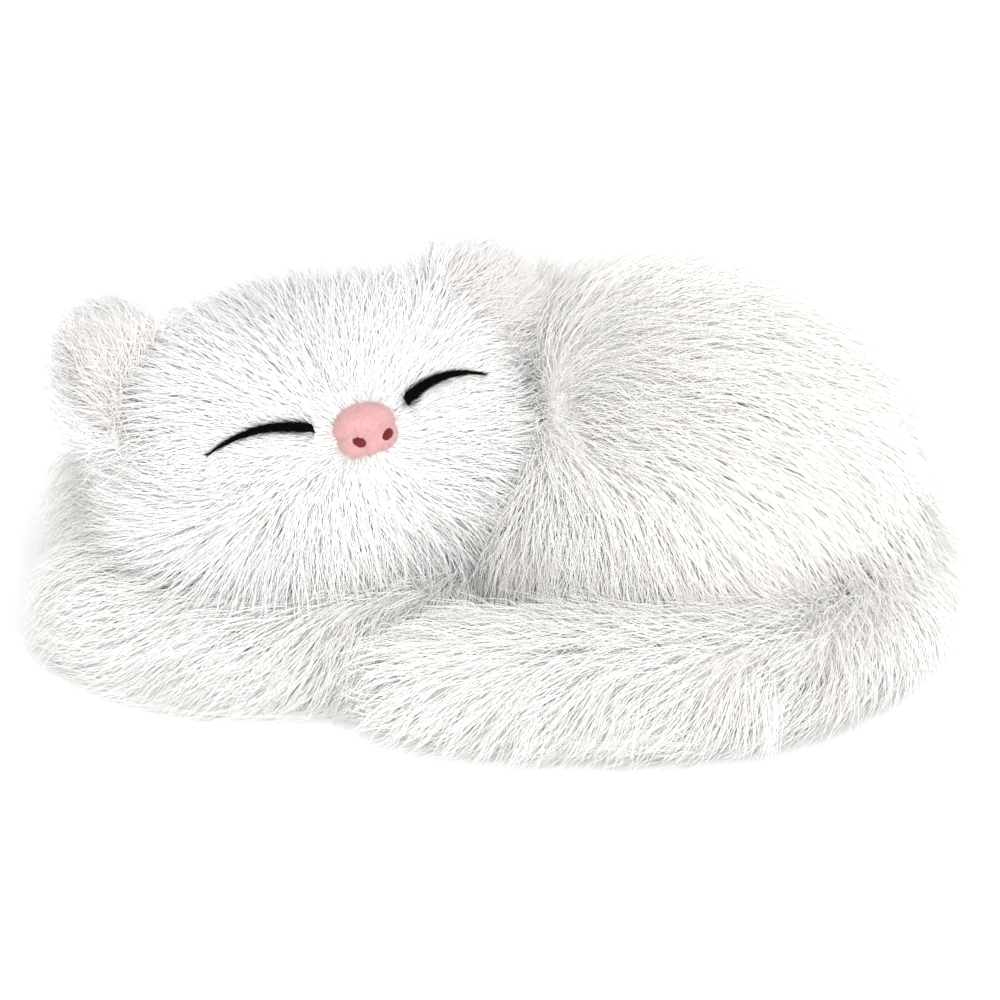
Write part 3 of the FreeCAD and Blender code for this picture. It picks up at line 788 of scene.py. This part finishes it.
class PLUSH_OT_pile(bpy.types.Operator):
    """Grows the long pile on every sewn panel of the body, head and tail"""

    bl_idname = "plush.pile"
    bl_label = "Pile"

    def execute(self, context):
        values = pile_values(context.scene.plush_pile)
        quarters = {
            "haunch": (lambda c: c.x >= WAIST_SEAM and c.y < SIDE_SEAM),
            "rump": (lambda c: c.x >= WAIST_SEAM and c.y >= SIDE_SEAM),
            "chest": (lambda c: c.x < WAIST_SEAM and c.y < SIDE_SEAM),
            "shoulder": (lambda c: c.x < WAIST_SEAM and c.y >= SIDE_SEAM),
        }
        for name, inside in quarters.items():
            grow(f"{name}_pile", made["body"], lambda c, n: inside(c) and not (n.z < -0.9 and c.z < 2 * MM),
                 "body", [f"{name}_panel"], made["strands"], made["materials"], **values)

        def head_part(centre):
            across, out, up = (float(v[0]) for v in head_places(np.array([centre])))
            if abs(across) > GUSSET_SIDE:
                return "right_cheek" if across < 0 else "left_cheek"
            if up > CROWN_SEAM:
                return "crown"
            return "nape" if out < NAPE_SEAM else "muzzle"

        for name in ("crown", "nape", "muzzle", "right_cheek", "left_cheek"):
            grow(f"{name}_pile", made["head"], lambda c, n: head_part(c) == name, "head", [f"{name}_panel"],
                 made["strands"], made["materials"], **values)
        grow("tail_pile", made["tail"], lambda c, n: True, "tail", ["tail_sleeve"],
             made["strands"], made["materials"], **values)
        return {"FINISHED"}


def in_nostrils(points):
    """1 in the middle of a nostril as seen from the front, falling to 0 outside it."""
    side, out, up = face_places(points)
    across, high = np.abs(side) - NOSTRIL_SIDE, up - NOSTRIL_UP
    turn = math.radians(35)
    wide = across * math.cos(turn) + high * math.sin(turn)
    thin = high * math.cos(turn) - across * math.sin(turn)
    return 1 - smoothstep(np.hypot(wide / 2.2, thin / 1.5), 0.75, 1.15)


class PLUSH_OT_nose(bpy.types.Operator):
    """Makes the felted nose with its two nostrils and a fine fuzz"""

    bl_idname = "plush.nose"
    bl_label = "Nose"

    def execute(self, context):
        felt = cad_copy("nose_felt", ["nose"])
        remesh(felt, 0.45, 5)
        points = points_of(felt.data)
        away = points - NOSE_CENTRE
        narrow = np.outer(away @ FACE_SIDE, FACE_SIDE) * 0.07 + np.outer(away @ FACE_CROWN, FACE_CROWN) * 0.13
        set_points(felt.data, points - narrow)
        points, normals = points_of(felt.data), normals_of(felt.data)
        lumps = np.array([noise.noise(Vector(p) / 0.0022) for p in points])
        fibres = np.array([noise.noise(Vector(p) / 0.0006) for p in points])
        set_points(felt.data, points + normals * (lumps * 0.25 + fibres * 0.1)[:, None] * MM)
        fuzz = new_object("nose_fuzz", felt.data.copy())
        shade(felt, made["materials"]["felt"])
        felt.data.materials.append(made["materials"]["nostril"])
        # Faces in the middle of each nostril take the dark felt colour: painted shade for the hollow there.
        nostril_shade_faces = in_nostrils(np.array([tuple(p.center) for p in felt.data.polygons]))
        felt.data.polygons.foreach_set("material_index", (nostril_shade_faces > 0.5).astype(np.int32))
        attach(felt, "head")
        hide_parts("nose")
        points, normals = points_of(fuzz.data), normals_of(fuzz.data)
        ways = np.array([noise.noise_vector(Vector(p) / 0.0012) for p in points])
        store(fuzz.data, "flow", along_surface(ways, normals))
        store(fuzz.data, "reach", np.ones(len(points)))
        clear = np.clip(1 - 1.3 * in_nostrils(points), 0, 1)
        store(fuzz.data, "dense", smoothstep(normals @ HEAD_FACE, -0.3, 0.2) * clear)
        store(fuzz.data, "lie", np.ones(len(points)))
        store(fuzz.data, "warmth", np.full(len(points), 0.5))
        pink = made["materials"]["felt_fuzz"]
        run_tree(fuzz, made["strands"], cool=pink, plain=pink, warm=pink, length=1.2 * MM, width=0.06 * MM,
                 density=cm2(380), lock_density=cm2(60), gather=0.3, frizz=0.2 * MM, stray=0.9,
                 lean=0.6, droop=2.1)
        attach(fuzz, "head")
        return {"FINISHED"}


class PLUSH_OT_lashes(bpy.types.Operator):
    """Makes the closed eyes: crescents of black bristle, thick at the inner corner, fine at the outer"""

    bl_idname = "plush.lashes"
    bl_label = "Lashes"

    def execute(self, context):
        black = made["materials"]["bristle"]
        for node, sign in (("right_lash", -1), ("left_lash", 1)):
            strip = cad_copy(f"{node}_strip", [node])
            shade(strip, black)
            points = points_of(strip.data)
            side, out, up = face_places(points)
            bend = np.polyfit(side, up, 2)
            off = up - np.polyval(bend, side)
            set_points(strip.data, points - np.outer(off * 0.42, FACE_CROWN) * MM)
            points, normals = points_of(strip.data), normals_of(strip.data)
            slope = (EYE_SIDE - np.abs(side)) / 40
            way = np.outer(np.ones(len(points)), sign * FACE_SIDE) + slope[:, None] * FACE_CROWN * 0.55
            hair = new_object(f"{node}_bristle", strip.data.copy())
            store(hair.data, "flow", along_surface(way, normals))
            store(hair.data, "reach", 1 - 0.5 * smoothstep(np.abs(side), 22, 42))
            store(hair.data, "dense", smoothstep(normals @ HEAD_FACE, -0.2, 0.3))
            store(hair.data, "lie", np.ones(len(points)))
            store(hair.data, "warmth", np.full(len(points), 0.5))
            run_tree(hair, made["strands"], cool=black, plain=black, warm=black,
                     length=4.6 * MM, width=0.14 * MM, density=cm2(900), lock_density=cm2(30),
                     gather=0.3, frizz=0.15 * MM, stray=0.1,
                     lean=1.35, droop=1.6)
            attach(hair, "head")
            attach(strip, "head")
            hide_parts(node)
        return {"FINISHED"}


class PLUSH_OT_base(bpy.types.Operator):
    """Makes the cloth underside and the stitches that close it"""

    bl_idname = "plush.base"
    bl_label = "Underside"

    def execute(self, context):
        cloth = cad_copy("base_cloth_panel", ["base_panel"])
        remesh(cloth, 1.4, 1)
        points = points_of(cloth.data)
        lowest, highest = (np.array(corner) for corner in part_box("base_panel"))
        ripple = np.array([noise.noise(Vector(p) / 0.02) for p in points])
        points[:, 2] = np.clip(points[:, 2] + 0.15 * MM * ripple, lowest[2], highest[2] + 0.1 * MM)
        set_points(cloth.data, points)
        shade(cloth, made["materials"]["base"])
        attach(cloth, "body")
        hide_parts("base_panel")

        thread = cad_copy("closing_seam", ["closing_stitches"])
        modifier = thread.modifiers.new("round", "BEVEL")
        modifier.width = 0.3 * MM
        modifier.segments = 2
        apply_modifiers(thread)
        shade(thread, made["materials"]["thread"])
        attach(thread, "body")
        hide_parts("closing_stitches")
        return {"FINISHED"}


class PLUSH_OT_stage(bpy.types.Operator):
    """Sets out a plain floor, soft light and the camera"""

    bl_idname = "plush.stage"
    bl_label = "Stage"

    def execute(self, context):
        settings = context.scene.plush_stage
        scene = context.scene
        floor_mesh = bpy.data.meshes.new("floor")
        floor_mesh.from_pydata([(-6, -6, 0), (6, -6, 0), (6, 6, 0), (-6, 6, 0)], [], [(0, 1, 2, 3)])
        floor = new_object("floor", floor_mesh)
        floor.location.z = -0.0003
        floor_mesh.materials.append(plain_material("pale_floor", "#FFFFFF", 1.0, specular=0.0))
        lights = [
            ("key", (0.2, -1.6, 1.05), 1.4, 31.0), ("fill", (0.6, -0.9, 1.6), 1.2, 8.0),
        ]
        stage = [floor]
        for name, place, size, power in lights:
            data = bpy.data.lights.new(name, "AREA")
            data.size, data.energy = size, power
            lamp = bpy.data.objects.new(name, data)
            scene.collection.objects.link(lamp)
            lamp.location = place
            lamp.rotation_euler = (-Vector(place)).to_track_quat("-Z", "Y").to_euler()
            stage.append(lamp)
        world = bpy.data.worlds.new("white_room")
        world.use_nodes = True
        world.node_tree.nodes["Background"].inputs["Color"].default_value = (1.0, 1.0, 1.0, 1.0)
        world.node_tree.nodes["Background"].inputs["Strength"].default_value = settings.ambient
        scene.world = world
        scene.view_settings.view_transform = "Standard"

        data = bpy.data.cameras.new("camera")
        data.lens, data.sensor_width = settings.lens, 36.0
        wide = 0.310
        away = wide * settings.lens / 36.0
        angle = math.radians(settings.elevation)
        aim = Vector((0.0031, 0.0, 0.0387))
        camera = bpy.data.objects.new("camera", data)
        scene.collection.objects.link(camera)
        camera.location = aim + Vector((0, -math.cos(angle), math.sin(angle))) * away
        camera.rotation_euler = (math.pi / 2 - angle, 0, 0)
        scene.camera = camera
        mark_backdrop(*stage)
        return {"FINISHED"}


class PLUSH_PT_panel(bpy.types.Panel):
    """The plush cat's steps"""

    bl_idname = "PLUSH_PT_panel"
    bl_label = "Plush Cat"
    bl_space_type = "VIEW_3D"
    bl_region_type = "UI"
    bl_category = "Plush Cat"

    def draw(self, context):
        for operator in OPERATORS:
            self.layout.operator(operator.bl_idname)


SETTINGS = {
    "plush_pile": PlushPileSettings, "plush_cloth": PlushClothSettings, "plush_stage": PlushStageSettings,
}
OPERATORS = (
    PLUSH_OT_body_cloth, PLUSH_OT_head_cloth, PLUSH_OT_tail_cloth, PLUSH_OT_ears, PLUSH_OT_pile,
    PLUSH_OT_nose, PLUSH_OT_lashes, PLUSH_OT_base, PLUSH_OT_stage,
)


def register():
    for kind in (*SETTINGS.values(), *OPERATORS, PLUSH_PT_panel):
        bpy.utils.register_class(kind)
    for name, kind in SETTINGS.items():
        setattr(bpy.types.Scene, name, bpy.props.PointerProperty(type=kind))


def unregister():
    for name in SETTINGS:
        delattr(bpy.types.Scene, name)
    for kind in reversed((*SETTINGS.values(), *OPERATORS, PLUSH_PT_panel)):
        bpy.utils.unregister_class(kind)


def main():
    register()
    made["materials"] = make_materials()
    made["strands"] = strand_tree("strands")
    for operator in OPERATORS:
        group, name = operator.bl_idname.split(".")
        getattr(getattr(bpy.ops, group), name)()
    bpy.context.view_layer.update()
    total = 0
    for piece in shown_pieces():
        faces = sum(len(p.vertices) - 2 for p in piece.data.polygons)
        total += faces
        print(f"{piece.name}: {faces} triangles")
    print(f"all: {total} triangles")


if __name__ == "__main__":
    main()
